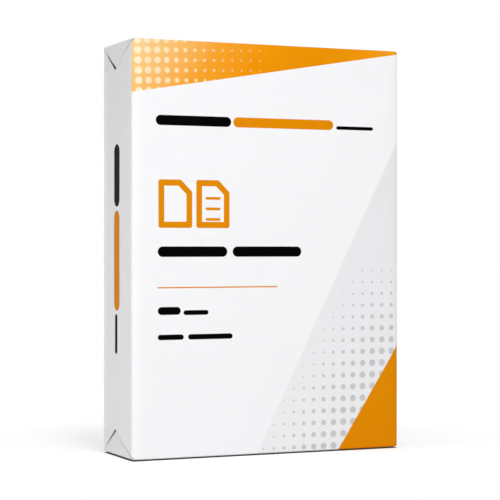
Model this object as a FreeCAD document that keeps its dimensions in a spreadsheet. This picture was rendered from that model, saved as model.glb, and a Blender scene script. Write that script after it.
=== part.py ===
# Ream of paper, sealed in its printed wrapper.
# The whole pack is one closed solid that stands on one of its short edges.
# The wrapper's tube runs round the front, the top, the back and the foot, with a glued lap on the back.
# It closes on the two long sides: the top and foot panels are tucked in first, the back flap goes over
# them, and the front flap goes over all of it.
# Frame: +X to the right, -Y out of the printed front, +Z up, origin under the middle of the foot.
import FreeCAD, Part
import Sketcher
import os

PART_NAME = "wrapped_ream"

SIZES = {
    # the pack as it stands
    "pack_width": 213.0,
    "pack_depth": 64.0,
    "pack_height": 298.0,
    # rounding of the four upright edges, and of the edges round the top and the foot
    "upright_radius": 2.5,
    "end_radius": 1.5,
    # the V of tucked paper at each end of a side: how far it reaches in, where its point lies,
    # and how far the tucked paper sinks under the flaps at the point
    "tuck_reach": 19.5,
    "tuck_point": 36.5,
    "tuck_sink": 1.6,
    # the front flap's free edge, measured from the back, and the step down from it to the back flap
    "flap_margin": 6.0,
    "flap_step": 0.35,
    # the glued lap across the back: its foot above the floor, its width, the soft ramp under its
    # hidden edge, and the step at its free edge
    "lap_height": 128.0,
    "lap_width": 26.0,
    "lap_ramp": 5.0,
    "lap_step": 0.35,
}


def make_sheet(doc):
    """The driving dimensions, one row each, as plain numbers with aliases."""
    sheet = doc.addObject("Spreadsheet::Sheet", "sizes")
    for row, (alias, value) in enumerate(SIZES.items(), start=1):
        sheet.set("A%d" % row, alias)
        sheet.set("B%d" % row, str(value))
        sheet.setAlias("B%d" % row, alias)
    return sheet


def origin_plane(body, role):
    """One of the body's own origin planes, found by its role."""
    return next(item for item in body.Origin.OriginFeatures if item.Role == role)


def new_sketch(body, name, role):
    """An empty sketch on one of the body's own origin planes."""
    sketch = body.newObject("Sketcher::SketchObject", name)
    sketch.AttachmentSupport = (origin_plane(body, role), [""])
    sketch.MapMode = "FlatFace"
    return sketch


def add_outline(sketch, corners):
    """A closed outline of straight lines whose corner coordinates are bound to the sheet.

    Each corner is its x and y expression and a start value for each.
    """
    count = len(corners)
    starts = [FreeCAD.Vector(x, y, 0) for _, _, x, y in corners]
    for index in range(count):
        sketch.addGeometry(Part.LineSegment(starts[index], starts[(index + 1) % count]), False)
    for index in range(count):
        sketch.addConstraint(Sketcher.Constraint("Coincident", index, 2, (index + 1) % count, 1))
    for index, (x_rule, y_rule, x, y) in enumerate(corners):
        for kind, rule, value in (("DistanceX", x_rule, x), ("DistanceY", y_rule, y)):
            number = sketch.addConstraint(Sketcher.Constraint(kind, -1, 1, index, 1, value))
            sketch.setExpression("Constraints[%d]" % number, rule)


def make_block(body):
    """The plain pack, without its lap: a rectangle on the floor padded to the full height."""
    half_width, front = SIZES["pack_width"] / 2, -SIZES["pack_depth"] / 2
    back = SIZES["pack_depth"] / 2 - SIZES["lap_step"]
    left_rule, right_rule = "-sizes.pack_width / 2", "sizes.pack_width / 2"
    front_rule, back_rule = "-sizes.pack_depth / 2", "sizes.pack_depth / 2 - sizes.lap_step"
    sketch = new_sketch(body, "foot_outline", "XY_Plane")
    add_outline(sketch, [
        (left_rule, front_rule, -half_width, front),
        (right_rule, front_rule, half_width, front),
        (right_rule, back_rule, half_width, back),
        (left_rule, back_rule, -half_width, back),
    ])
    block = body.newObject("PartDesign::Pad", "block")
    block.Profile = sketch
    block.setExpression("Length", "sizes.pack_height")
    return block


def edge_names(feature, wanted):
    """Names of the straight edges of a feature that the test picks, by their direction and middle."""
    names = []
    for number, edge in enumerate(feature.Shape.Edges, start=1):
        along = edge.Vertexes[-1].Point - edge.Vertexes[0].Point
        middle = (edge.Vertexes[-1].Point + edge.Vertexes[0].Point) * 0.5
        if wanted(along, middle):
            names.append("Edge%d" % number)
    return names


def make_fillet(body, name, base, names, radius_rule):
    """Rounds the named edges of a feature with a radius from the sheet."""
    fillet = body.newObject("PartDesign::Fillet", name)
    fillet.Base = (base, names)
    fillet.setExpression("Radius", radius_rule)
    return fillet


def cut_back_flap(body, side):
    """Sinks the strip behind the front flap's free edge, and the ground beside each V, by one step.

    side is -1 for the left side of the pack and 1 for the right one.
    """
    tag = "left" if side < 0 else "right"
    depth, height = SIZES["pack_depth"], SIZES["pack_height"]
    point, reach = SIZES["tuck_point"] - depth / 2, SIZES["tuck_reach"]
    free = depth / 2 - SIZES["flap_margin"]
    front_rule, back_rule = "-sizes.pack_depth / 2", "sizes.pack_depth / 2"
    point_rule = "sizes.tuck_point - sizes.pack_depth / 2"
    free_rule = "sizes.pack_depth / 2 - sizes.flap_margin"
    upper_rule = "sizes.pack_height - sizes.tuck_reach"
    sketch = new_sketch(body, "flap_edge_" + tag, "YZ_Plane")
    sketch.setExpression("AttachmentOffset.Base.z", "%d * sizes.pack_width / 2" % side)
    add_outline(sketch, [
        (front_rule, "sizes.pack_height", -depth / 2, height),
        (point_rule, upper_rule, point, height - reach),
        (free_rule, upper_rule, free, height - reach),
        (free_rule, "sizes.tuck_reach", free, reach),
        (point_rule, "sizes.tuck_reach", point, reach),
        (front_rule, "0 * sizes.tuck_reach", -depth / 2, 0.0),
        (back_rule, "0 * sizes.tuck_reach", depth / 2, 0.0),
        (back_rule, "sizes.pack_height", depth / 2, height),
    ])
    step = body.newObject("PartDesign::Pocket", "back_flap_" + tag)
    step.Profile = sketch
    step.Reversed = side < 0
    step.setExpression("Length", "sizes.flap_step")
    return step


def cut_tuck(body, side, end):
    """Sinks one V of tucked paper: nothing at the pack's end, and most at the V's point.

    end is 1 at the top and -1 at the foot.
    """
    tag = ("left" if side < 0 else "right") + ("_top" if end > 0 else "_foot")
    half_depth = SIZES["pack_depth"] / 2
    point = SIZES["tuck_point"] - half_depth
    slant = (SIZES["tuck_reach"] ** 2 + SIZES["tuck_sink"] ** 2) ** 0.5
    slant_rule = "%d * sqrt(sizes.tuck_reach ^ 2 + sizes.tuck_sink ^ 2)" % -end
    sketch = new_sketch(body, "tuck_outline_" + tag, "YZ_Plane")
    sketch.AttachmentOffset = FreeCAD.Placement(FreeCAD.Vector(), FreeCAD.Rotation(FreeCAD.Vector(1, 0, 0), 1))
    sketch.setExpression("AttachmentOffset.Base.y", "sizes.pack_height" if end > 0 else "0 * sizes.pack_height")
    sketch.setExpression("AttachmentOffset.Base.z", "%d * sizes.pack_width / 2" % side)
    sketch.setExpression("AttachmentOffset.Rotation.Angle",
                         "%d * atan(sizes.tuck_sink / sizes.tuck_reach)" % (side * end))
    add_outline(sketch, [
        ("-sizes.pack_depth / 2", "0 * sizes.tuck_reach", -half_depth, 0.0),
        ("sizes.pack_depth / 2", "0 * sizes.tuck_reach", half_depth, 0.0),
        ("sizes.tuck_point - sizes.pack_depth / 2", slant_rule, point, -end * slant),
    ])
    tuck = body.newObject("PartDesign::Pocket", "tuck_" + tag)
    tuck.Profile = sketch
    tuck.Type = "ThroughAll"
    tuck.Reversed = side > 0
    return tuck


def add_lap(body):
    """The glued lap across the back: a sharp free edge at its top and a soft ramp at its foot."""
    outer, inner = SIZES["pack_depth"] / 2, SIZES["pack_depth"] / 2 - SIZES["lap_step"]
    foot, ramp = SIZES["lap_height"], SIZES["lap_height"] + SIZES["lap_ramp"]
    top = SIZES["lap_height"] + SIZES["lap_width"]
    outer_rule, inner_rule = "sizes.pack_depth / 2", "sizes.pack_depth / 2 - sizes.lap_step"
    top_rule = "sizes.lap_height + sizes.lap_width"
    sketch = new_sketch(body, "lap_section", "YZ_Plane")
    add_outline(sketch, [
        (inner_rule, "sizes.lap_height", inner, foot),
        (outer_rule, "sizes.lap_height + sizes.lap_ramp", outer, ramp),
        (outer_rule, top_rule, outer, top),
        (inner_rule, top_rule, inner, top),
    ])
    lap = body.newObject("PartDesign::Pad", "lap")
    lap.Profile = sketch
    lap.Midplane = True
    lap.setExpression("Length", "sizes.pack_width - 2 * sizes.upright_radius")
    return lap


def build_pack(doc):
    """The sealed pack, from the plain block to its folds."""
    body = doc.addObject("PartDesign::Body", PART_NAME)
    body.Label = PART_NAME
    body.Placement = FreeCAD.Placement()
    block = make_block(body)
    doc.recompute()
    upright = edge_names(block, lambda along, middle: abs(along.z) > 1 and abs(along.x) < 1)
    rounded = make_fillet(body, "upright_rounding", block, upright, "sizes.upright_radius")
    doc.recompute()
    ends = edge_names(rounded, lambda along, middle: abs(along.z) < 1)
    whole = make_fillet(body, "end_rounding", rounded, ends, "sizes.end_radius")
    doc.recompute()
    features = [whole]
    for side in (-1, 1):
        features.append(cut_back_flap(body, side))
        doc.recompute()
    for side in (-1, 1):
        for end in (-1, 1):
            features.append(cut_tuck(body, side, end))
            doc.recompute()
    for before, after in zip(features, features[1:]):
        if after.Shape.Volume >= before.Shape.Volume:
            raise RuntimeError("%s cut nothing" % after.Name)
    lap = add_lap(body)
    body.Tip = lap
    doc.recompute()
    if lap.Shape.Volume <= features[-1].Shape.Volume:
        raise RuntimeError("the lap added nothing")
    return body


def check_document(doc):
    """Stops if any object failed."""
    for item in doc.Objects:
        if "Invalid" in item.State or "Error" in item.State:
            raise RuntimeError("%s failed: %s" % (item.Name, item.State))


def main():
    """Builds the document, checks it and writes the pack."""
    doc = FreeCAD.newDocument("paper_ream")
    make_sheet(doc)
    doc.recompute()
    body = build_pack(doc)
    check_document(doc)
    shape = body.Shape
    if shape.isNull() or not shape.isValid() or len(shape.Solids) != 1:
        raise RuntimeError("%s isn't one valid solid" % body.Label)
    os.makedirs("parts", exist_ok=True)
    shape.exportStep("parts/%s.step" % body.Label)
    box = shape.optimalBoundingBox(False, False)
    print("%s: %.2f x %.2f x %.2f mm, volume %.0f mm3, %d faces"
          % (body.Label, box.XLength, box.YLength, box.ZLength, shape.Volume, len(shape.Faces)))


main()
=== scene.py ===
"""Looks of a sealed ream of paper: its folded wrapper, the print on it, and a plain white studio."""
import logging
import math
from collections.abc import Callable, Iterable
from dataclasses import dataclass, field
from enum import Enum
from functools import partial, reduce
from types import SimpleNamespace

import bmesh
import bpy
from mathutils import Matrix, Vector, noise


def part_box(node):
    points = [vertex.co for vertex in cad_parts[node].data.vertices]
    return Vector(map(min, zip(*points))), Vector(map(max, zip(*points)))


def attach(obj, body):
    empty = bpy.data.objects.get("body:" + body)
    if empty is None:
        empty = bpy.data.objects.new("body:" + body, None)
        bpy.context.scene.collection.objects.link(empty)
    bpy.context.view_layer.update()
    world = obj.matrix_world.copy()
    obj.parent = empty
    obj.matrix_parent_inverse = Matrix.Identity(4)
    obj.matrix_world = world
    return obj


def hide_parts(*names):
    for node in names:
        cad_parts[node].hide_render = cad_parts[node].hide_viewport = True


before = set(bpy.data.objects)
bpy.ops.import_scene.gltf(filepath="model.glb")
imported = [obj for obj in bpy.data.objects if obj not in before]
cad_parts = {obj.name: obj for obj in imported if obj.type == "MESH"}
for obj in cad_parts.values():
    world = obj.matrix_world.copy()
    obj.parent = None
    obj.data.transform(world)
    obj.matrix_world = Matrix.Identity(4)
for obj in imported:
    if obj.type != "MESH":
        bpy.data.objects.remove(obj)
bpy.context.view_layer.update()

LOG = logging.getLogger("ream")
MM = 0.001
PACK_NODE = "wrapped_ream"

# Two places nearer than this, in metres, are one.
HAIR = 1e-7
# A face looks along an axis when its normal has at least this share of it.
SQUARE_ON = 0.99

Socket = bpy.types.NodeSocket
Colour = tuple[float, float, float, float]
# The span that a value comes from and, with four numbers, the span that it goes to.
Ramp = tuple[float, ...]


def ink(red: int, green: int, blue: int) -> Colour:
    """A printed colour, as it is named on screen, in the linear values that shaders take.

    Args:
        red, green, blue: The colour's parts, from 0 to 255.

    Returns:
        The linear colour with full alpha.
    """
    def linear(part: int) -> float:
        """One part as linear light."""
        share = part / 255
        return share / 12.92 if share <= 0.04045 else ((share + 0.055) / 1.055) ** 2.4

    return (linear(red), linear(green), linear(blue), 1.0)


class Side(Enum):
    """The two long sides on which the wrapper is folded shut."""

    LEFT = -1
    RIGHT = 1


class End(Enum):
    """The two ends of a long side, each with its V of tucked paper."""

    FOOT = -1
    TOP = 1


class Panel(Enum):
    """The panels of the wrapper's flat map: the way that each faces, and the pack's axes that it shows."""

    FRONT = ("-y", "xz")
    LEFT = ("-x", "yz")
    RIGHT = ("+x", "yz")
    BACK = ("+y", "zx")
    TOP = ("+z", "xy")
    FOOT = ("-z", "xy")


@dataclass(frozen=True)
class Spot:
    """Where a panel lies on the flat map: its low corner in pixels and its pixels for each millimetre."""

    across: float
    up: float
    scale: float


@dataclass
class PackForm:
    """The pack's sizes in metres. Its box comes from the solid, and the rest are the wrapper's own."""

    low: Vector
    high: Vector
    upright_radius: float = 2.5 * MM
    end_radius: float = 1.5 * MM
    tuck_reach: float = 19.5 * MM
    tuck_point: float = 36.5 * MM
    tuck_sink: float = 1.6 * MM
    flap_margin: float = 6.0 * MM
    flap_step: float = 0.25 * MM
    lap_height: float = 128.0 * MM
    lap_width: float = 26.0 * MM
    lap_ramp: float = 5.0 * MM
    lap_step: float = 0.3 * MM
    side_relief: float = 0.3 * MM
    edge_width: float = 0.2 * MM
    roll_front: float = 1.35 * MM
    roll_back: float = 0.5 * MM
    roll_reach: float = 9.0 * MM
    rim_lift: float = 0.9 * MM
    rim_reach: float = 8.0 * MM

    @property
    def size(self) -> Vector:
        """The pack's width, depth and height."""
        return self.high - self.low

    @property
    def middle(self) -> Vector:
        """The middle of the pack's box."""
        return (self.low + self.high) / 2

    @property
    def point_y(self) -> float:
        """The depth at which both V shapes come to their point."""
        return self.low.y + self.tuck_point

    @property
    def free_y(self) -> float:
        """The depth of the front flap's free edge."""
        return self.high.y - self.flap_margin


def smooth_step(share: float) -> float:
    """An ease from 0 to 1 with level ends.

    Args:
        share: How far along the ease is, held between 0 and 1.

    Returns:
        The eased share.
    """
    held = min(max(share, 0.0), 1.0)
    return held * held * (3 - 2 * held)


def place_object(name: str, data: bpy.types.ID) -> bpy.types.Object:
    """Puts a mesh, a camera or a lamp into the scene.

    Args:
        name: The object's name.
        data: The mesh, camera or lamp.

    Returns:
        The object, at the origin.
    """
    item = bpy.data.objects.new(name, data)
    bpy.context.scene.collection.objects.link(item)
    return item


def mesh_object(name: str, bm: bmesh.types.BMesh) -> bpy.types.Object:
    """Puts a finished mesh into the scene, and frees the bmesh.

    Args:
        name: The name of the mesh and its object.
        bm: The finished bmesh.

    Returns:
        The object, at the origin.
    """
    mesh = bpy.data.meshes.new(name)
    bm.to_mesh(mesh)
    bm.free()
    return place_object(name, mesh)


@dataclass
class Wrapper:
    """The folded wrapper as one closed shell, modelled from a block that is scored, folded and relaxed.

    Sizes are in metres, and the flat map's scales are pixels for each millimetre.
    """

    form: PackForm
    bm: bmesh.types.BMesh = field(default_factory=bmesh.new)
    grid: float = 3.0 * MM
    grid_guard: float = 0.5 * MM
    upright_steps: int = 8
    end_steps: int = 6
    sharp_angle: float = 35.0
    seam: float = 0.01 * MM
    undercut: float = 12.0 * MM
    undercut_rise: float = 1.4
    lip_lift: float = 0.29 * MM
    lip_fade: float = 4.0 * MM
    corner_pit: float = 0.7 * MM
    pit_size: float = 2.2 * MM
    wave: float = 0.11 * MM
    wave_length: float = 60.0 * MM
    ripple: float = 0.045 * MM
    ripple_length: float = 17.0 * MM
    ripple_start: tuple[int, int, int] = (7, 3, 5)
    pucker: float = 0.10 * MM
    pucker_length: float = 7.0 * MM
    pucker_start: tuple[int, int, int] = (1, 9, 4)
    side_gain: float = 2.0
    side_start: float = 0.6
    map_pixels: int = 1024
    map_gap: float = 8.0
    print_scale: float = 2.7
    end_scale: float = 1.45
    back_scale: float = 0.9
    tuck_scale: float = 1.35
    tuck_margin: float = 5.0
    tuck_spacing: float = 14.0

    def build(self) -> bpy.types.Object:
        """Models the shell, folds it and lays out its map.

        Returns:
            The wrapper's object, at the origin.
        """
        self._block()
        self._score_grid()
        self._score_folds()
        tucked = [self._open_tuck(side, end) for side in Side for end in End]
        self._shape_sides()
        self._raise_lap()
        self._roll_panels()
        self._lift_rim()
        self._relax()
        self._lay_out(tucked)
        bmesh.ops.recalc_face_normals(self.bm, faces=self.bm.faces)
        wrapper = mesh_object("wrapper", self.bm)
        wrapper.data.shade_smooth()
        wrapper.data.set_sharp_from_angle(angle=math.radians(self.sharp_angle))
        LOG.info("wrapper: %d faces", len(wrapper.data.polygons))
        return wrapper

    def _block(self) -> None:
        """Makes the plain pack with its rounded edges."""
        form = self.form

        def rise(edge: bmesh.types.BMEdge) -> float:
            """How far an edge climbs."""
            return abs(edge.verts[0].co.z - edge.verts[1].co.z)

        size = Vector((form.size.x - 2 * form.side_relief, form.size.y - form.lap_step, form.size.z))
        middle = form.middle - Vector((0, form.lap_step / 2, 0))
        bmesh.ops.create_cube(self.bm, size=1.0)
        bmesh.ops.scale(self.bm, vec=size, verts=self.bm.verts)
        bmesh.ops.translate(self.bm, vec=middle, verts=self.bm.verts)
        upright = [e for e in self.bm.edges if rise(e) > form.size.z / 2]
        self._round(upright, form.upright_radius, self.upright_steps)
        rims = [
            e for e in self.bm.edges
            if rise(e) < MM and sum(abs(f.normal.z) > 0.5 for f in e.link_faces) == 1
        ]
        self._round(rims, form.end_radius, self.end_steps)

    def _round(self, edges: list, radius: float, steps: int) -> None:
        """Rounds edges with a circular bevel."""
        bmesh.ops.bevel(
            self.bm, geom=edges, offset=radius, offset_type="OFFSET", affect="EDGES", segments=steps,
            profile=0.5, material=-1, clamp_overlap=True,
        )

    def _cut(self, faces: Iterable, point: Vector, normal: Vector) -> None:
        """Scores a straight line across faces.

        Args:
            faces: The faces to score.
            point: A point of the cutting plane.
            normal: The plane's normal.
        """
        kept = list(faces)
        edges = dict.fromkeys(e for f in kept for e in f.edges)
        verts = dict.fromkeys(v for f in kept for v in f.verts)
        bmesh.ops.bisect_plane(
            self.bm, geom=[*verts, *edges, *kept], dist=HAIR, plane_co=point, plane_no=normal,
        )

    def _score_grid(self) -> None:
        """Divides the flat faces into a grid that can carry the paper's waves."""
        form = self.form
        insets = (form.upright_radius + form.side_relief, form.upright_radius, form.end_radius)
        for axis, inset in enumerate(insets):
            normal = Vector([float(axis == i) for i in range(3)])
            inset += self.grid_guard
            start, stop = form.low[axis] + inset, form.high[axis] - inset
            if axis == 1:
                stop -= form.lap_step
            count = round((stop - start) / self.grid)
            for index in range(count + 1):
                self._cut(self.bm.faces, normal * (start + (stop - start) * index / count), normal)

    def _side_faces(self, side: Side) -> list:
        """The flat faces of one long side."""
        return [f for f in self.bm.faces if f.normal.x * side.value > SQUARE_ON]

    def _end_z(self, end: End, inset: float) -> float:
        """The height that lies inset from one end of the pack."""
        form = self.form
        return form.high.z - inset if end is End.TOP else form.low.z + inset

    def _past_point(self, z: float, end: End) -> float:
        """How far a height lies past the point of a V, towards the pack's end."""
        return (z - self._end_z(end, self.form.tuck_reach)) * end.value

    def _near_end(self, z: float) -> End:
        """The end that a height is nearer to."""
        return End.TOP if z > self.form.middle.z else End.FOOT

    def _score_folds(self) -> None:
        """Scores the V shapes, the front flap's edges and the back's lap."""
        form = self.form
        up, back = Vector((0, 0, 1)), Vector((0, 1, 0))
        for side in Side:
            for line in (form.free_y, form.free_y + form.edge_width):
                self._cut(self._side_faces(side), back * line, back)
            for end in End:
                for inset in (form.tuck_reach, form.tuck_reach - form.edge_width):
                    self._cut(self._side_faces(side), up * self._end_z(end, inset), up)
                tip = Vector((0, form.point_y, self._end_z(end, form.tuck_reach)))
                for corner_y in (form.low.y, form.high.y):
                    arm = Vector((0, corner_y, self._end_z(end, 0))) - tip
                    near = [
                        f for f in self._side_faces(side)
                        if self._past_point(f.calc_center_median().z, end) > 0
                    ]
                    self._cut(near, tip, Vector((0, -arm.z, arm.y)))
        back_faces = [f for f in self.bm.faces if f.normal.y > SQUARE_ON]
        lap_top = form.lap_height + form.lap_width
        for line in (form.lap_height, lap_top, lap_top + form.edge_width):
            self._cut(back_faces, up * (form.low.z + line), up)
            back_faces = [f for f in self.bm.faces if f.normal.y > SQUARE_ON]

    def _arm_places(self, y: float, z: float, end: End) -> list[tuple[float, float, Vector]]:
        """How a place on a side lies to the two arms of a V.

        Args:
            y: The place's depth.
            z: The place's height.
            end: Which V.

        Returns:
            For the front arm and then the back one: how far the place lies inside the V, negative
            outside it, how far along the arm it is from the corner at 0 to the point at 1, and the way
            inwards.
        """
        form = self.form
        tip = Vector((form.point_y, self._end_z(end, form.tuck_reach)))
        places = []
        for corner_y in (form.low.y, form.high.y):
            corner = Vector((corner_y, self._end_z(end, 0)))
            arm = tip - corner
            inward = Vector((-arm.y, arm.x)).normalized()
            inward = -inward if inward.y * end.value < 0 else inward
            here = Vector((y, z)) - corner
            places.append((here.dot(inward), here.dot(arm) / arm.length_squared, inward))
        return places

    def _sink(self, y: float, z: float, end: End) -> float:
        """How far the tucked paper lies under the flaps: nothing at the end, most at the V's point.

        Args:
            y: The place's depth.
            z: The place's height.
            end: Which V.

        Returns:
            The depth in metres.
        """
        form = self.form
        from_end = abs(z - self._end_z(end, form.end_radius))
        share = from_end / (form.tuck_reach - form.end_radius)
        corner = Vector((form.low.y + form.upright_radius, self._end_z(end, form.end_radius)))
        near = (Vector((y, z)) - corner).length / self.pit_size
        return form.tuck_sink * share + self.corner_pit * math.exp(-near * near)

    def _open_tuck(self, side: Side, end: End) -> tuple[list, list]:
        """Folds one V of tucked paper in behind the flaps, with a dark gap under their free edges.

        Args:
            side: The side that the V is on.
            end: The end of that side.

        Returns:
            The faces of the tucked paper, and those of the flaps' undersides.
        """
        inside = [
            f for f in self._side_faces(side)
            if all(place[0] > self.seam for place in self._arm_places(*f.calc_center_median().yz, end))
            and self._past_point(f.calc_center_median().z, end) > 0
        ]
        grown = bmesh.ops.extrude_face_region(self.bm, geom=inside)["geom"]
        bmesh.ops.delete(self.bm, geom=[f for f in inside if f.is_valid], context="FACES_ONLY")
        tucked = [g for g in grown if isinstance(g, bmesh.types.BMFace)]
        verts = [g for g in grown if isinstance(g, bmesh.types.BMVert)]
        walls = dict.fromkeys(f for v in verts for f in v.link_faces)
        underside = [
            f for f in walls if f not in tucked and any(e.calc_length() < self.seam for e in f.edges)
        ]
        for vert in verts:
            y, z = vert.co.y, vert.co.z
            shift = Vector((0, 0))
            for inset, along, inward in self._arm_places(y, z, end):
                if abs(inset) < self.seam:
                    shift -= inward * self.undercut * smooth_step(along * self.undercut_rise)
            vert.co.x -= side.value * self._sink(y, z, end)
            vert.co.y += shift.x
            vert.co.z += shift.y
        return tucked, underside

    def _shape_sides(self) -> None:
        """Sinks the back flap under the front one, and lifts the flaps' free edges at each V."""
        form = self.form
        plane = form.size.x / 2 - form.side_relief
        middle = form.middle.x
        for vert in self.bm.verts:
            out = vert.co.x - middle
            if abs(abs(out) - plane) > HAIR:
                continue
            offset = self._side_offset(vert.co.y, vert.co.z)
            vert.co.x += math.copysign(offset, out)

    def _side_offset(self, y: float, z: float) -> float:
        """How far a place on the outer paper of a side stands out.

        Args:
            y: The place's depth.
            z: The place's height.

        Returns:
            The offset in metres, outwards.
        """
        form = self.form
        end = self._near_end(z)
        beyond_tip = self._past_point(z, end)
        behind = y - form.free_y
        offset = 0.0
        if behind > form.edge_width / 2 or beyond_tip > form.edge_width / 2:
            to_back = form.high.y - form.upright_radius - form.lap_step - y
            to_end = form.tuck_reach - form.end_radius - beyond_tip
            fade = smooth_step(to_back / (form.flap_margin / 2))
            fade *= smooth_step(to_end / (form.tuck_reach / 2)) if beyond_tip > 0 else 1.0
            front_side = self._arm_places(y, z, end)[0][0] < 0
            offset -= 0.0 if front_side and beyond_tip > 0 else form.flap_step * fade
        for inset, along, _ in self._arm_places(y, z, end):
            held = min(max(along, 0.0), 1.0)
            past = max(along - 1.0, 0.0) * form.tuck_reach
            reach = math.hypot(max(-inset, 0.0), past)
            offset += self.lip_lift / 2 * held * held * math.exp(-reach / self.lip_fade)
        return min(offset, form.side_relief)

    def _raise_lap(self) -> None:
        """Raises the glued lap across the back, sharp at its free edge and soft at its hidden one."""
        form = self.form
        plane = form.high.y - form.lap_step
        lap_top = form.lap_height + form.lap_width
        ends = form.size.x / 2 - form.side_relief - form.upright_radius
        middle = form.middle.x
        for vert in self.bm.verts:
            up = vert.co.z - form.low.z
            if abs(vert.co.y - plane) > HAIR or not form.lap_height <= up <= lap_top + form.edge_width / 2:
                continue
            rise = smooth_step((up - form.lap_height) / form.lap_ramp)
            to_edge = smooth_step((ends - abs(vert.co.x - middle)) / form.lap_ramp)
            vert.co.y += form.lap_step * rise * to_edge

    def _roll_panels(self) -> None:
        """Rolls the front and the back sheet off towards the upright edges, softly."""
        form = self.form
        for vert in self.bm.verts:
            x, y = vert.co.x, vert.co.y
            to_side = min(x - form.low.x, form.high.x - x) - form.side_relief
            roll = max(1 - to_side / form.roll_reach, 0.0) ** 2
            by_front = smooth_step(1 - (y - form.low.y) / (form.size.y / 3))
            by_back = smooth_step(1 - (form.high.y - y) / (form.size.y / 3))
            vert.co.y += roll * (form.roll_front * by_front - form.roll_back * by_back)

    def _lift_rim(self) -> None:
        """Lifts the rim of the foot off the floor, so that the pack stands on the foot's middle."""
        form = self.form
        for vert in self.bm.verts:
            x, y, z = vert.co
            inset = min(x - form.low.x, form.high.x - x, y - form.low.y, form.high.y - y)
            near = 1 - smooth_step((inset - form.end_radius) / form.rim_reach)
            low = 1 - smooth_step((z - form.low.z) / (2 * form.rim_reach))
            vert.co.z += form.rim_lift * near * low

    def _relax(self) -> None:
        """Gives the paper its faint waves, and small puckers by the folds, while the foot stays flat."""
        form = self.form
        self.bm.normal_update()
        moves = []
        for vert in self.bm.verts:
            place = vert.co
            broad = noise.noise(place / self.wave_length) * self.wave
            fine = noise.noise(place / self.ripple_length + Vector(self.ripple_start)) * self.ripple
            on_side = smooth_step(abs(vert.normal.x) * self.side_gain - self.side_start)
            end = self._near_end(place.z)
            from_end = abs(place.z - self._end_z(end, 0))
            by_fold = on_side * (1 - smooth_step((from_end - form.tuck_reach) / (form.tuck_reach / 2)))
            small = noise.noise(place / self.pucker_length + Vector(self.pucker_start)) * self.pucker
            off_floor = smooth_step((place.z - form.low.z) / (3 * form.end_radius))
            inner = -abs(broad) - abs(fine) if on_side < 0.5 else broad + fine
            moves.append((vert, vert.normal * (inner + small * by_fold) * off_floor))
        for vert, move in moves:
            vert.co += move
            for axis in range(3):
                vert.co[axis] = min(max(vert.co[axis], form.low[axis]), form.high[axis])

    def _lay_out(self, tucked: list[tuple[list, list]]) -> None:
        """Lays the wrapper out flat on its map, the printed panels largest.

        Args:
            tucked: The tucked and underside faces of each V, which get places of their own.
        """
        form, gap, margin = self.form, self.map_gap, self.tuck_margin
        self.bm.normal_update()
        layer = self.bm.loops.layers.uv.new("OFBake")
        large, small, plain = self.print_scale, self.end_scale, self.back_scale
        width, depth, height = form.size / MM
        strip = height * large + 2 * gap
        spots = {
            Panel.FRONT: Spot(gap, gap, large),
            Panel.LEFT: Spot(width * large + 2 * gap, gap, large),
            Panel.RIGHT: Spot((width + depth) * large + 3 * gap, gap, large),
            Panel.BACK: Spot(gap, strip, plain),
            Panel.TOP: Spot(height * plain + 2 * gap, strip, small),
            Panel.FOOT: Spot(height * plain + 2 * gap, strip + depth * small + gap / 2, small),
        }
        row = Spot(height * plain + width * small + 3 * gap, strip, self.tuck_scale)
        row_height = (form.tuck_reach / MM + 2 * margin) * row.scale
        placed = {}
        for index, pair in enumerate(tucked):
            for column, faces in enumerate(pair):
                across = row.across + column * (depth + self.tuck_spacing) * row.scale
                spot = Spot(across, row.up + index * row_height, row.scale)
                placed.update({face: (spot, index) for face in faces if face.is_valid})
        for face in self.bm.faces:
            if face in placed:
                spot, index = placed[face]
                base = form.low.z if index % 2 == 0 else form.high.z - form.tuck_reach
                origin = Vector((0, form.low.y - margin * MM, base - margin * MM))
                axes = "yz"
            else:
                panel = self._panel_of(face)
                spot, origin, axes = spots[panel], form.low, panel.value[1]
            for loop in face.loops:
                here = (loop.vert.co - origin) / MM
                across, up = (here["xyz".index(axis)] for axis in axes)
                pixels = Vector((spot.across + across * spot.scale, spot.up + up * spot.scale))
                loop[layer].uv = pixels / self.map_pixels

    @staticmethod
    def _panel_of(face: bmesh.types.BMFace) -> Panel:
        """The panel that a face belongs to, by the way that it faces.

        Args:
            face: The face.

        Returns:
            The panel.
        """
        axis = max(range(3), key=lambda i: abs(face.normal[i]))
        facing = "-+"[face.normal[axis] > 0] + "xyz"[axis]
        return next(panel for panel in Panel if panel.value[0] == facing)


def sum_node(operation: str, swapped: bool = False) -> Callable:
    """Makes an operator of Value.

    Args:
        operation: The math node's operation.
        swapped: Whether the other value comes first.

    Returns:
        The operator's method.
    """
    def method(self: "Value", other: "Link") -> "Value":
        """Adds the node to the value's own bench."""
        return self.bench.math(operation, *((other, self) if swapped else (self, other)))

    return method


class Value:
    """A number or mask of a shader tree, on which sums read as plain formulas."""

    def __init__(self, bench: "NodeBench", socket: Socket) -> None:
        """Takes an output socket of the bench's tree."""
        self.bench = bench
        self.socket = socket

    def __neg__(self) -> "Value":
        """The value with its sign turned."""
        return self * -1.0

    def __abs__(self) -> "Value":
        """The value without its sign."""
        return self.bench.math("ABSOLUTE", self)

    __add__ = sum_node("ADD")
    __sub__ = sum_node("SUBTRACT")
    __rsub__ = sum_node("SUBTRACT", swapped=True)
    __mul__ = sum_node("MULTIPLY")
    __truediv__ = sum_node("DIVIDE")
    __lt__ = sum_node("LESS_THAN")
    __gt__ = sum_node("GREATER_THAN")


Link = Value | Socket | float


def socket_name(word: str) -> str:
    """A socket's name, from a word in small letters with bars for spaces."""
    return word.replace("_", " ").title()


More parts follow.
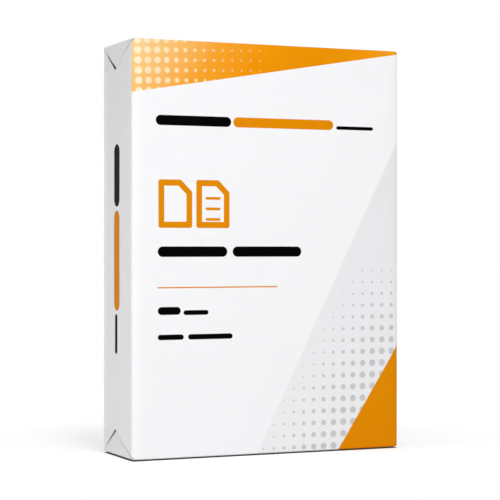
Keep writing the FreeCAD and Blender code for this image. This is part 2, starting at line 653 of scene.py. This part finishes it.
class NodeBench:
    """Lays out the nodes of one shader tree. A group's sockets are named by words, as socket_name reads."""

    def __init__(self, tree: bpy.types.NodeTree) -> None:
        """Takes the tree to work on."""
        self.tree = tree

    @classmethod
    def on(cls, owner: bpy.types.Material | bpy.types.World) -> "NodeBench":
        """A bench on the emptied tree of a material or a world.

        Args:
            owner: The material or the world.

        Returns:
            The bench.
        """
        owner.use_nodes = True
        owner.node_tree.nodes.clear()
        return cls(owner.node_tree)

    def feed(self, socket: Socket, value: Link | Colour) -> None:
        """Links a socket to an output, or sets it to a constant.

        Args:
            socket: The input to feed.
            value: An output, or a number or colour.
        """
        source = value.socket if isinstance(value, Value) else value
        if isinstance(source, Socket):
            self.tree.links.new(source, socket)
        else:
            socket.default_value = source

    def node(self, kind: str, inputs: dict | None = None, **settings: object) -> bpy.types.Node:
        """Adds a node.

        Args:
            kind: The node's type name, after its usual start.
            inputs: What feeds its inputs, by their names or numbers.
            **settings: Properties to set on it first.

        Returns:
            The new node.
        """
        node = self.tree.nodes.new("ShaderNode" + kind)
        for name, value in settings.items():
            setattr(node, name, value)
        for key, value in (inputs or {}).items():
            self.feed(node.inputs[key], value)
        return node

    def math(self, operation: str, *values: Link, clamp: bool = False) -> Value:
        """One sum on up to three values."""
        node = self.node("Math", dict(enumerate(values)), operation=operation, use_clamp=clamp)
        return Value(self, node.outputs[0])

    def least(self, *values: Link) -> Value:
        """The least of several values."""
        return reduce(partial(self.math, "MINIMUM"), values)

    def most(self, *values: Link) -> Value:
        """The greatest of several values."""
        return reduce(partial(self.math, "MAXIMUM"), values)

    def length(self, first: Value, second: Value) -> Value:
        """The length of a run with these parts along two axes."""
        return self.math("SQRT", first * first + second * second)

    def span(self, value: Link, low: Link, high: Link, start: Link = 0.0, stop: Link = 1.0,
             ease: str = "LINEAR") -> Value:
        """A value carried from one span to another, held at its ends.

        Args:
            value: The value.
            low, high: The span that it comes from.
            start, stop: The span that it goes to.
            ease: LINEAR or SMOOTHSTEP.

        Returns:
            The carried value.
        """
        names = ("Value", "From Min", "From Max", "To Min", "To Max")
        inputs = dict(zip(names, (value, low, high, start, stop)))
        return Value(self, self.node("MapRange", inputs, interpolation_type=ease).outputs[0])

    def mix(self, share: Link, first: Socket | Colour, second: Socket | Colour) -> Socket:
        """Two colours mixed by a share from 0 to 1."""
        return self.node("Mix", {0: share, 6: first, 7: second}, data_type="RGBA").outputs[2]

    def parts(self, vector: Socket) -> list[Value]:
        """The three parts of a vector."""
        return [Value(self, part) for part in self.node("SeparateXYZ", {0: vector}).outputs]

    def named(self, sockets: Iterable[Socket]) -> SimpleNamespace:
        """Sockets as values, each by its name in small letters with bars for spaces."""
        return SimpleNamespace(**{s.name.lower().replace(" ", "_"): Value(self, s) for s in sockets})

    def group(self, tree: bpy.types.NodeTree, **values: Link) -> SimpleNamespace:
        """Places a shared group.

        Args:
            tree: The group's tree.
            **values: What feeds its inputs.

        Returns:
            Its outputs.
        """
        inputs = {socket_name(word): value for word, value in values.items()}
        return self.named(self.node("Group", inputs, node_tree=tree).outputs)


class GroupBench(NodeBench):
    """A bench on a new shared group. Its given values are the group's inputs."""

    def __init__(self, name: str, inputs: str, outputs: str, vector: str = "") -> None:
        """Starts the group.

        Args:
            name: The group's name.
            inputs: Its number inputs.
            outputs: Its number outputs.
            vector: Its vector input, if it has one.
        """
        super().__init__(bpy.data.node_groups.new(name, "ShaderNodeTree"))
        kinds = ((vector, "INPUT", "Vector"), (inputs, "INPUT", "Float"), (outputs, "OUTPUT", "Float"))
        for words, way, kind in kinds:
            for word in words.split():
                self.tree.interface.new_socket(
                    name=socket_name(word), in_out=way, socket_type="NodeSocket" + kind)
        self.given = self.named(self.tree.nodes.new("NodeGroupInput").outputs)
        self.result = self.tree.nodes.new("NodeGroupOutput")

    def give(self, **values: Value) -> bpy.types.NodeTree:
        """Feeds the group's outputs.

        Args:
            **values: What feeds them.

        Returns:
            The finished group's tree.
        """
        for word, value in values.items():
            self.feed(self.result.inputs[socket_name(word)], value)
        return self.tree


def bar_group() -> bpy.types.NodeTree:
    """A printed bar with rounded ends, as a mask. All its sizes are in millimetres on the panel.

    Returns:
        The group's tree.
    """
    bench = GroupBench("printed bar", "across up left right middle thickness corner softness", "mask")
    given = bench.given
    half_long = (given.right - given.left) * 0.5
    past_ends = abs(given.across - (given.left + half_long)) - half_long + given.corner
    past_edges = abs(given.up - given.middle) - given.thickness * 0.5 + given.corner
    outer = bench.length(bench.most(past_ends, 0.0), bench.most(past_edges, 0.0))
    inner = bench.least(bench.most(past_ends, past_edges), 0.0)
    distance = outer + inner - given.corner
    return bench.give(mask=bench.span(distance, -given.softness, given.softness, 1.0, 0.0))


def halftone_group() -> bpy.types.NodeTree:
    """A square screen of dots: for a place on the panel, its dot's centre and the distance to it.

    Returns:
        The group's tree.
    """
    inputs = "across up first_across first_up pitch_across pitch_up"
    bench = GroupBench("halftone screen", inputs, "dot_across dot_up distance")
    given = bench.given

    def centre(place: Value, first: Value, pitch: Value) -> Value:
        """The nearest dot's centre along one axis."""
        return bench.math("ROUND", (place - first) / pitch) * pitch + first

    across = centre(given.across, given.first_across, given.pitch_across)
    up = centre(given.up, given.first_up, given.pitch_up)
    distance = bench.length(given.across - across, given.up - up)
    return bench.give(dot_across=across, dot_up=up, distance=distance)


@dataclass(frozen=True)
class PaintedFoldShade:
    """Painted shade beside a V of tucked paper, for a place on a long side. Sizes are in millimetres.

    A painted shadow line runs along the V's front arm and fades towards the point. It starts from a painted
    dark spot of shade at the pack's corner where it fades faster than spot_fading. The shade is a soft
    painted ring about the back corner, in shares of the V's reach. Painted shade also darkens the space
    under the flaps, outside the V and below the side's plane.
    """

    crease_outset: float = 0.2
    crease_soft: Ramp = (0.2, 0.6, 1.0, 0.0)
    crease_strength: float = 0.6
    spot: Ramp = (0.9, 2.4, 0.95, 0.0)
    spot_fading: float = 0.5
    ring_soft: Ramp = (0.0, 0.3, 1.0, 0.0)
    ring_fading: Ramp = (0.4, 1.3, 1.0, 0.0)
    pocket_outset: float = 0.05
    pocket_clear: float = 2.7
    pocket_front: float = 3.8
    pocket_depth: Ramp = (0.58, 0.76)

    def group(self) -> bpy.types.NodeTree:
        """Builds the painted fold shade as a shader group.

        Returns:
            The group's tree.
        """
        inputs = "from_front from_back from_end from_side reach point depth fading"
        bench = GroupBench("painted fold shade", inputs, "crease shade pocket")
        given = bench.given
        from_end, reach = given.from_end, given.reach

        def inside(from_corner: Value, point: Value) -> Value:
            """How far a place lies inside one arm of the V."""
            return (from_corner * reach - from_end * point) / bench.length(reach, point)

        from_arm = inside(given.from_front, given.point)
        from_back_arm = inside(given.from_back, given.depth - given.point)
        along = from_end / reach
        # A painted shadow line along the front arm, and a painted dark spot of shade at the corner.
        line = bench.span(abs(from_arm + self.crease_outset), *self.crease_soft)
        fading = bench.math("SUBTRACT", self.crease_strength, along * given.fading, clamp=True)
        spot = bench.span(bench.length(given.from_front, from_end), *self.spot)
        crease = bench.most(line * fading * (along < 1.0), spot * (given.fading > self.spot_fading))
        # A soft ring of painted shade about the back corner.
        depth = given.from_back / reach
        ring = abs(bench.length(depth, along) - 1.0)
        shade = bench.span(ring, *self.ring_soft, "SMOOTHSTEP")
        shade = shade * bench.span(depth, *self.ring_fading, "SMOOTHSTEP")
        # Painted shade in the space under the flaps, outside the V.
        outside = bench.least(from_arm, from_back_arm) < -self.pocket_outset
        clear = bench.least(given.from_front, given.from_back, from_end) > self.pocket_clear
        pocket = bench.most(outside, along > 1.0) * clear * (given.from_front > self.pocket_front)
        pocket = pocket * bench.span(given.from_side, *self.pocket_depth)
        return bench.give(crease=crease, shade=shade, pocket=pocket)


@dataclass(frozen=True)
class PaperFinish:
    """White coated wrapper paper: its colour, gloss and relief, and its patterns' sizes in millimetres."""

    white: Colour = ink(241, 241, 243)
    roughness: float = 0.34
    specular: float = 0.012
    gloss_change: float = 0.08
    fibre: float = 0.02
    crinkle: float = 0.12
    mottle: float = 0.022
    relief: float = 1.0 * MM
    relief_strength: float = 0.5
    fibre_size: float = 0.45
    crinkle_size: float = 9.0
    cell_size: float = 26.0
    cell_share: float = 0.3
    cloud_size: float = 38.0
    fleck_size: float = 1.6
    fleck_share: float = 0.35
    gloss_size: float = 14.0
    fine_detail: float = 3.0
    soft_detail: float = 2.0

    def group(self) -> bpy.types.NodeTree:
        """Builds the paper's surface as a shader group: fibres, faint crinkles, and mottled tone and gloss.

        Returns:
            The group's tree.
        """
        bench = GroupBench("coated paper", "fibre crinkle mottle", "height tone gloss", vector="position")
        given = bench.given

        def pattern(kind: str, size: float, more: dict, **settings: str) -> Value:
            """A pattern of the given size at the given place."""
            inputs = {"Vector": given.position, "Scale": 1 / (size * MM), **more}
            return Value(bench, bench.node(kind, inputs, **settings).outputs[0])

        def noise_of(size: float, detail: float) -> Value:
            """Cloudy noise about zero."""
            return pattern("TexNoise", size, {"Detail": detail}) - 0.5

        cells = pattern("TexVoronoi", self.cell_size, {}, feature="SMOOTH_F1") * self.cell_share
        fibres = noise_of(self.fibre_size, self.fine_detail) * given.fibre
        height = fibres + (noise_of(self.crinkle_size, self.soft_detail) + cells) * given.crinkle
        flecks = noise_of(self.fleck_size, self.soft_detail) * self.fleck_share
        tone = (noise_of(self.cloud_size, self.soft_detail) + flecks) * given.mottle
        return bench.give(height=height, tone=tone, gloss=noise_of(self.gloss_size, self.fine_detail))


@dataclass(frozen=True)
class Inks:
    """The printed colours, and the painted shade of the folds and of the space under the flaps. The wedge's
    run along it, at places in millimetres.
    """

    black: Colour = ink(3, 3, 4)
    # Painted shade, not ink: the grey of the folds' shadow lines and the dark of the space under the flaps.
    fold_shadow: Colour = ink(96, 96, 99)
    pocket: Colour = ink(64, 64, 66)
    orange: Colour = ink(222, 136, 3)
    band_low: Colour = ink(234, 234, 236)
    band_high: Colour = ink(229, 229, 232)
    band_dot: Colour = ink(198, 198, 201)
    dot: Colour = ink(249, 234, 202)
    # The first stop, at the wedge's left edge, is paler partly as print and partly as a painted highlight
    # on the rolled edge.
    wedge: tuple[tuple[float, Colour], ...] = (
        (0.0, ink(244, 207, 144)),
        (36.0, ink(245, 183, 100)),
        (65.0, ink(242, 160, 43)),
        (100.0, ink(237, 147, 8)),
        (150.0, ink(229, 141, 3)),
        (183.0, ink(236, 148, 10)),
        (208.0, ink(242, 157, 32)),
    )


@dataclass(frozen=True)
class Bar:
    """A plain printed bar in millimetres. It has round ends unless a corner radius is given."""

    left: float
    right: float
    middle: float
    thickness: float
    colour: Colour = (0.0, 0.0, 0.0, 1.0)
    corner: float | None = None


@dataclass(frozen=True)
class Screen:
    """A screen of dots: the centre of its first one and the pitch of its rows, in millimetres."""

    first_across: float
    first_up: float
    pitch_across: float
    pitch_up: float


@dataclass(frozen=True)
class Place:
    """A place on a printed panel, in millimetres."""

    across: Value
    up: Value


@dataclass
class PrintedWrapper:
    """The wrapper's one material: coated paper with the print's fields, screens and bars, and painted shade
    at its folds.

    Sizes are in millimetres. Places on the front are from its left foot corner, but its bars' middles
    are from the top. Those on the left side are from the top and the back edge.
    """

    form: PackForm
    paper: PaperFinish = PaperFinish()
    inks: Inks = Inks()
    wedge_drop: float = 38.1
    wedge_end: float = 2.2
    wedge_lean: float = 0.85
    wedge_start: float = 6.0
    wedge_screen: Screen = Screen(4.0, 1.33, 7.2, 7.16)
    wedge_turn: float = 0.036
    wedge_slim: Ramp = (0.0, 98.0, 3.65, 1.15)
    wedge_bold: Ramp = (18.0, 45.0, 1.6, 0.0)
    # The dots' strength by column; the first column's extra strength is partly a painted highlight on the
    # rolled left edge.
    wedge_pale: Ramp = (4.0, 12.0, 0.88, 0.66)
    wedge_faint: Ramp = (40.0, 75.0, 1.0, 0.5)
    wedge_last_dot: float = 98.0
    band_foot: float = 95.2
    band_rise: float = 233.8
    band_shade: Ramp = (40.0, 190.0)
    band_screen: Screen = Screen(206.35, 4.31, 8.09, 8.61)
    band_lean: float = 1.6
    band_growth: Ramp = (78.0, 152.0, 0.0, 5.1)
    band_limit: Ramp = (72.0, 150.0, 5.05, 0.28)
    band_blend: float = 0.5
    band_faint: Ramp = (0.3, 1.2)
    corner_along: float = 51.8
    corner_up: float = 79.6
    sheet_lefts: tuple[float, float] = (19.7, 48.6)
    sheet_width: float = 25.7
    sheet_top: float = 99.2
    sheet_foot: float = 133.5
    sheet_stroke: float = 4.4
    sheet_turn: float = 8.6
    sheet_corner: float = 1.6
    sheet_hollow: float = 0.3
    sheet_lines: tuple[float, ...] = (0.38, 0.6, 0.82)
    sheet_line_inset: float = 2.6
    sheet_line: float = 2.0
    front_bars: tuple[Bar, ...] = (
        Bar(19.0, 112.2, 175.9, 0.95, inks.orange),
        Bar(17.7, 75.6, 57.2, 7.2, inks.black),
        Bar(77.4, 157.6, 57.2, 7.2, inks.orange),
        Bar(160.2, 190.8, 59.0, 2.6, inks.black),
        Bar(19.2, 72.6, 150.4, 7.4, inks.black),
        Bar(76.8, 131.5, 150.4, 7.4, inks.black),
        Bar(19.2, 36.6, 192.4, 5.6, inks.black),
        Bar(38.8, 57.9, 193.8, 3.4, inks.black),
        Bar(19.2, 38.9, 211.1, 3.8, inks.black),
        Bar(42.3, 76.7, 211.1, 3.8, inks.black),
    )
    side_bars: tuple[Bar, ...] = (
        Bar(73.1, 118.0, 30.8, 11.6, inks.black),
        Bar(120.8, 193.0, 30.8, 11.6, inks.orange),
        Bar(195.4, 224.2, 29.4, 5.0, inks.black),
    )
    edge_softness: float = 0.09
    dot_softness: float = 0.25
    wrap_front: float = 2.8
    wrap_side: float = 1.2
    wrap_back: float = 1.5
    fold_margin: float = 2.0
    # Painted shade at the folds: the ring's strength, its fading from top to foot, how much fainter the
    # shade under the flaps is at the foot, and the painted shadow line at the lap's edge.
    fold_shade: float = 0.035
    fold_fading: Ramp = (0.0, 1.0, 0.66, 0.3)
    foot_pocket: float = 0.75
    lap_line: Ramp = (0.15, 0.5, 0.45, 0.0)

    def __post_init__(self) -> None:
        """Starts the material, with the place that it reads and the groups that it shares."""
        self.material = bpy.data.materials.new("printed wrapper")
        self.bench = NodeBench.on(self.material)
        self.position = self.bench.node("TexCoord").outputs["Object"]
        self.low, self.high = self.form.low / MM, self.form.high / MM
        self.wide, self.depth, self.tall = self.form.size / MM
        self.x, self.y, self.z = [part * (1 / MM) for part in self.bench.parts(self.position)]
        self.front = Place(self.x - self.low.x, self.z - self.low.z)
        self.bars, self.screens = bar_group(), halftone_group()
        # The colour laid so far: paper, print, and painted shade at the folds.
        self.printed = self.paper.white

    def build(self) -> bpy.types.Material:
        """Makes the material.

        Returns:
            The wrapper's material.
        """
        bench, paper = self.bench, self.paper
        self._front()
        self._side()
        self._folds()
        grain = bench.group(
            paper.group(), position=self.position, fibre=paper.fibre, crinkle=paper.crinkle,
            mottle=paper.mottle)
        toned = bench.node("HueSaturation", {"Value": grain.tone + 1.0, "Color": self.printed})
        bump = bench.node("Bump", {
            "Height": grain.height, "Distance": paper.relief, "Strength": paper.relief_strength,
        })
        shader = bench.node("BsdfPrincipled", {
            "Base Color": toned.outputs[0],
            "Roughness": grain.gloss * paper.gloss_change + paper.roughness,
            "Specular IOR Level": paper.specular,
            "Normal": bump.outputs[0],
        })
        bench.node("OutputMaterial", {"Surface": shader.outputs[0]})
        LOG.info("printed wrapper: %d nodes", len(bench.tree.nodes))
        return self.material

    def _print(self, mask: Value, colour: Socket | Colour) -> None:
        """Lays a colour over what is there, where the mask is 1: print, or painted shade at the folds."""
        self.printed = self.bench.mix(mask, self.printed, colour)

    def _beside(self, start: tuple[float, float], stop: tuple[float, float]) -> Value:
        """A mask of all that lies to the right of a line on the front.

        Args:
            start, stop: Two points of the line, in the way that it runs.

        Returns:
            The mask.
        """
        run = math.dist(start, stop)
        normal = ((stop[1] - start[1]) / run, (start[0] - stop[0]) / run)
        offset = normal[0] * start[0] + normal[1] * start[1]
        distance = self.front.across * normal[0] + self.front.up * normal[1] - offset
        return self.bench.span(distance, -self.edge_softness, self.edge_softness)

    def _disc(self, distance: Value, diameter: Value) -> Value:
        """The mask of a dot of the given diameter."""
        past = distance - diameter * 0.5
        return self.bench.span(past, -self.dot_softness, self.dot_softness, 1.0, 0.0)

    def _bar(self, bar: Bar, place: Place) -> Value:
        """The mask of one printed bar.

        Args:
            bar: The bar.
            place: The place on its panel.

        Returns:
            The mask.
        """
        corner = bar.thickness / 2 if bar.corner is None else bar.corner
        return self.bench.group(
            self.bars, across=place.across, up=place.up, left=bar.left, right=bar.right,
            middle=bar.middle, thickness=bar.thickness, corner=corner, softness=self.edge_softness).mask

    def _front(self) -> None:
        """Prints the front, and leaves the paper white elsewhere."""
        wide, down = self.wide, self.tall - self.front.up
        self._band()
        self._print(self._beside((wide - self.corner_along, 0.0), (wide, self.corner_up)), self.inks.orange)
        self._wedge(down)
        for bar in self.front_bars:
            self._print(self._bar(bar, Place(self.front.across, down)), bar.colour)
        self._sheets()
        on_front = self.y < self.low.y + self.wrap_front
        self.printed = self.bench.mix(on_front, self.paper.white, self.printed)

    def _band(self) -> None:
        """Prints the pale slanting band, with its screen of grey dots that grow to the corner."""
        bench, inks, place = self.bench, self.inks, self.front
        grey = bench.mix(bench.span(place.up, *self.band_shade), inks.band_low, inks.band_high)
        dots = bench.group(self.screens, **vars(place), **vars(self.band_screen))
        growth = bench.span(dots.dot_across - dots.dot_up * (1 / self.band_lean), *self.band_growth)
        limit = bench.span(dots.dot_up, *self.band_limit)
        diameter = bench.math("SMOOTH_MIN", growth, limit, self.band_blend)
        dot = self._disc(dots.distance, diameter) * bench.span(diameter, *self.band_faint)
        inside = self._beside((self.band_foot, 0.0), (self.wide, self.band_rise))
        self._print(inside, bench.mix(dot, grey, inks.band_dot))

    def _wedge(self, down: Value) -> None:
        """Prints the orange wedge along the top, pale at its left end under a screen of white dots. Its
        first stop and the stronger first column of dots are paler partly as print and partly as a painted
        highlight on the rolled left edge.

        Args:
            down: The distance from the top.
        """
        bench, inks, across = self.bench, self.inks, self.front.across
        last = inks.wedge[-1][0]
        slid = (down - self.wedge_start) * self.wedge_lean + across
        ramp = bench.node("ValToRGB", {0: slid * (1 / last)})
        stops = ramp.color_ramp.elements
        for index, (place, tint) in enumerate(inks.wedge):
            stop = stops[index] if index < 2 else stops.new(1.0)
            stop.position = place / last
            stop.color = tint
        turned = Place(across - down * self.wedge_turn, down + across * self.wedge_turn)
        dots = bench.group(self.screens, **vars(turned), **vars(self.wedge_screen))
        column = dots.dot_across
        kept = column < self.wedge_last_dot
        diameter = (bench.span(column, *self.wedge_slim) + bench.span(column, *self.wedge_bold)) * kept
        strength = bench.span(column, *self.wedge_pale) * bench.span(column, *self.wedge_faint) * kept
        printed = bench.mix(self._disc(dots.distance, diameter) * strength, ramp.outputs[0], inks.dot)
        inside = self._beside((self.wide, self.tall - self.wedge_end), (0.0, self.tall - self.wedge_drop))
        self._print(inside, printed)

    def _sheets(self) -> None:
        """Prints two outlined sheets with a turned corner, one plain and one ruled."""
        low, high = self.tall - self.sheet_foot, self.tall - self.sheet_top
        middle, size = (low + high) / 2, high - low
        stroke, turn = self.sheet_stroke, self.sheet_turn
        slant, inset = stroke * math.sqrt(2), stroke + self.sheet_line_inset
        for left, ruled in zip(self.sheet_lefts, (False, True)):
            right = left + self.sheet_width
            outline = Bar(left, right, middle, size, corner=self.sheet_corner)
            hollow = Bar(left + stroke, right - stroke, middle, size - 2 * stroke, corner=self.sheet_hollow)
            hole = self._bar(hollow, self.front)
            hole = hole * self._beside((right - turn, high - slant), (right, high - turn - slant))
            for share in self.sheet_lines if ruled else ():
                line = Bar(left + inset, right - inset, high - share * size, self.sheet_line)
                hole = hole * (1.0 - self._bar(line, self.front))
            body = self._beside((right - turn, high), (right, high - turn))
            self._print(self._bar(outline, self.front) * body * (1.0 - hole), self.inks.orange)

    def _side(self) -> None:
        """Prints the left side's bars."""
        place = Place(self.high.z - self.z, self.high.y - self.y)
        on_side = self.x < self.low.x + self.wrap_side
        for bar in self.side_bars:
            self._print(self._bar(bar, place) * on_side, bar.colour)

    def _folds(self) -> None:
        """Paints shade into the folds of both long sides, at the top and the foot, and a painted shadow
        line at the lap's edge on the back.
        """
        bench, form, shadow = self.bench, self.form, self.inks.fold_shadow
        middle = form.middle.z / MM
        at_foot = self.z < middle
        from_end = self.tall / 2 - abs(self.z - middle)
        lift = bench.span(from_end, 0.0, 2 * form.rim_reach / MM, form.rim_lift / MM, 0.0, "SMOOTHSTEP")
        from_side = self.wide / 2 - abs(self.x)
        fold_shading = bench.group(
            PaintedFoldShade().group(), from_front=self.y - self.low.y, from_back=self.high.y - self.y,
            from_end=from_end - lift * at_foot, from_side=from_side, reach=form.tuck_reach / MM,
            point=form.tuck_point / MM, depth=self.depth,
            fading=bench.span(at_foot, *self.fold_fading))
        on_side = from_side < self.fold_margin
        # Painted shade: the soft ring, then the shadow lines and the corner spots.
        self._print(fold_shading.shade * on_side * self.fold_shade, shadow)
        self._print(fold_shading.crease * on_side, shadow)
        # A painted shadow line along the lap's free edge on the back.
        lap_edge = self.low.z + (form.lap_height + form.lap_width + form.edge_width) / MM
        on_back = self.y > self.high.y - self.wrap_back
        self._print(bench.span(abs(self.z - lap_edge), *self.lap_line) * on_back, shadow)
        # Painted shade in the space under the flaps, fainter at the foot.
        pocket = fold_shading.pocket * bench.span(at_foot, 0.0, 1.0, 1.0, self.foot_pocket)
        self._print(pocket, self.inks.pocket)


@dataclass(frozen=True)
class Lamp:
    """A soft oblong lamp that faces the pack: its place and size in metres, and its power in watts."""

    name: str
    place: tuple[float, float, float]
    size: tuple[float, float]
    power: float


@dataclass
class Studio:
    """A white floor with soft light from the front and above, and the photograph's camera."""

    form: PackForm
    camera_place: tuple[float, float, float] = (-518.8 * MM, -1171.0 * MM, 150.8 * MM)
    camera_turn: float = 23.815
    camera_dip: float = 0.094
    lens: float = 123.95
    sensor: float = 36.0
    clip: tuple[float, float] = (0.05, 30.0)
    sky: float = 0.29
    floor_size: float = 4.0
    floor_white: float = 0.88
    floor_glow: float = 0.345
    floor_reach: float = 0.27
    # How bright the floor is painted under the pack, as shade.
    floor_hidden: float = 0.08
    floor_blend: float = 1.0 * MM
    lamps: tuple[Lamp, ...] = (
        Lamp("key", (-0.15, -1.70, 0.65), (0.6, 0.5), 14.6),
        Lamp("edge", (-0.70, -0.135, 0.06), (0.22, 0.1), 1.0),
        Lamp("overhead", (0.0, -0.1, 1.7), (1.5, 1.5), 11.0),
    )

    def build(self) -> None:
        """Makes the camera, the world, the floor and the lamps."""
        self._camera()
        self._world()
        self._floor()
        for lamp in self.lamps:
            self._hang(lamp)

    def _camera(self) -> None:
        """Sets the camera where the photograph was taken from."""
        data = bpy.data.cameras.new("camera")
        data.lens = self.lens
        data.sensor_width = self.sensor
        data.clip_start, data.clip_end = self.clip
        camera = place_object("camera", data)
        camera.location = self.camera_place
        camera.rotation_euler = (math.radians(90 - self.camera_dip), 0.0, math.radians(-self.camera_turn))
        bpy.context.scene.camera = camera
        LOG.info("camera: %.1f mm lens", data.lens)

    @staticmethod
    def _seen(bench: NodeBench) -> Value:
        """1 for rays that the camera, a gloss or a clear surface sends out, and 0 for light."""
        rays = bench.node("LightPath").outputs
        return bench.most(rays["Is Camera Ray"], rays["Is Glossy Ray"], rays["Is Transmission Ray"])

    def _world(self) -> None:
        """A white room: white to look at, and softer as light."""
        world = bpy.data.worlds.new("white room")
        bpy.context.scene.world = world
        bench = NodeBench.on(world)
        strength = bench.span(self._seen(bench), 0.0, 1.0, self.sky, 1.0)
        room = bench.node("Background", {"Color": (1.0, 1.0, 1.0, 1.0), "Strength": strength})
        bench.node("OutputWorld", {"Surface": room.outputs[0]})

    def _floor(self) -> None:
        """A white floor that keeps the pack's shadow, is painted dark as shade under the pack's footprint,
        and melts into the white room.
        """
        bm = bmesh.new()
        bmesh.ops.create_grid(bm, x_segments=1, y_segments=1, size=self.floor_size)
        floor = mesh_object("floor", bm)
        material = bpy.data.materials.new("white floor")
        bench = NodeBench.on(material)
        place = bench.node("TexCoord").outputs["Object"]
        reach = bench.node("VectorMath", {0: place}, operation="LENGTH").outputs["Value"]
        far = bench.span(reach, self.floor_reach / 2, self.floor_reach, ease="SMOOTHSTEP")
        turn = self.form.upright_radius
        sides = zip(bench.parts(place), self.form.size.xy / 2)
        past = [bench.most(abs(part) - (half - turn), 0.0) for part, half in sides]
        outside = bench.length(*past) - turn
        # Painted shade: under the pack's footprint the floor's colour is painted dark, and its glow drops
        # there too.
        open_floor = bench.span(outside, -self.floor_blend, 0.0, self.floor_hidden, 1.0)
        white_part = open_floor * self.floor_white
        tint = bench.node("CombineColor", dict.fromkeys(range(3), white_part))
        matt = bench.node("BsdfDiffuse", {"Color": tint.outputs[0]})
        seen = self._seen(bench)
        glow = bench.node("Emission", {"Strength": seen * open_floor * self.floor_glow})
        near = bench.node("AddShader", {0: matt.outputs[0], 1: glow.outputs[0]})
        white = bench.node("Emission", {"Strength": 1.0})
        blend = bench.node("MixShader", {0: far * seen, 1: near.outputs[0], 2: white.outputs[0]})
        bench.node("OutputMaterial", {"Surface": blend.outputs[0]})
        floor.data.materials.append(material)
        LOG.info("floor: in place")

    def _hang(self, lamp: Lamp) -> None:
        """Hangs one lamp.

        Args:
            lamp: The lamp.
        """
        data = bpy.data.lights.new(lamp.name, "AREA")
        data.shape = "RECTANGLE"
        data.size, data.size_y = lamp.size
        data.energy = lamp.power
        item = place_object(lamp.name, data)
        item.location = lamp.place
        item.rotation_mode = "QUATERNION"
        item.rotation_quaternion = (self.form.middle - Vector(lamp.place)).to_track_quat("-Z", "Y")
        LOG.info("lamp: %s", lamp.name)


def main() -> None:
    """Builds the studio, then the wrapper, sets it on the root body and hides the pack's solid."""
    logging.basicConfig(level=logging.INFO, format="%(name)s: %(message)s")
    bpy.context.scene.view_settings.view_transform = "Standard"
    low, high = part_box(PACK_NODE)
    form = PackForm(Vector(low), Vector(high))
    Studio(form).build()
    wrapper = Wrapper(form).build()
    wrapper.data.materials.append(PrintedWrapper(form).build())
    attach(wrapper, "root")
    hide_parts(PACK_NODE)


if __name__ == "__main__":
    main()
